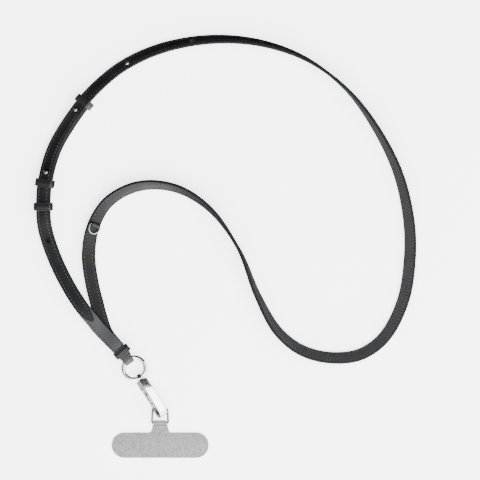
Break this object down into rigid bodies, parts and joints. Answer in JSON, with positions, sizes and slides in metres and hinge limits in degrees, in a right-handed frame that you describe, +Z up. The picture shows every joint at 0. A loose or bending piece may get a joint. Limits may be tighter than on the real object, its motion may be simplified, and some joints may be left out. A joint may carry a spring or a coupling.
{
  "type": "phone crossbody strap",
  "caption": "Adjustable narrow leather crossbody strap with studs, keepers, D-ring, O-ring, swivel snap hook and a phone tab, laid flat.",
  "frame": {"origin": "middle of the laid-out strap's footprint, on the surface it lies on", "axes": "+Z up, +Y towards the top of the loop, the phone tab lies at -Y"},
  "size_m": [0.2756, 0.3056, 0.0132],
  "materials": {
    "black_leather": "smooth leather with painted edges",
    "polished_steel": "polished",
    "fleck_grey": "light grey with fine flecks"
  },
  "bodies": {
    "strap": {"long_strap": "black_leather", "short_strap": "black_leather", "upper_keeper": "black_leather", "middle_keeper": "black_leather", "lower_keeper": "black_leather", "ring_keeper": "black_leather", "d_ring_tab": "black_leather", "lower_stud": "polished_steel", "upper_stud": "polished_steel", "o_ring": "polished_steel", "swivel_eye": "polished_steel"},
    "d_ring": {"d_ring": "polished_steel"},
    "hook": {"hook_body": "polished_steel", "gate_pin": "polished_steel", "bail": "polished_steel"},
    "gate": {"hook_gate": "polished_steel"},
    "tab": {"phone_tab": "fleck_grey"}
  },
  "joints": [
    {"name": "d_ring_hinge", "type": "hinge", "parent": "strap", "child": "d_ring", "pos_m": [-0.09331, 0.01516, 0.00581], "axis": [-0.8027, 0.3222, 0.5019], "range_deg": [0, 150]},
    {"name": "swivel", "type": "hinge", "parent": "strap", "child": "hook", "pos_m": [-0.06127, -0.09456, 0.0055], "axis": [0.5225, -0.8526, 0], "continuous": true},
    {"name": "gate_hinge", "type": "hinge", "parent": "hook", "child": "gate", "pos_m": [-0.05812, -0.10236, 0.0024], "axis": [-0.7789, -0.4773, 0.4067], "range_deg": [0, 18], "stiffness_Nm_per_rad": 0.01, "springref_deg": -17.19},
    {"name": "tab_hinge", "type": "hinge", "parent": "hook", "child": "tab", "pos_m": [-0.04682, -0.12768, 0.00211], "axis": [1, 0, 0], "range_deg": [-90, 90]}
  ]
}
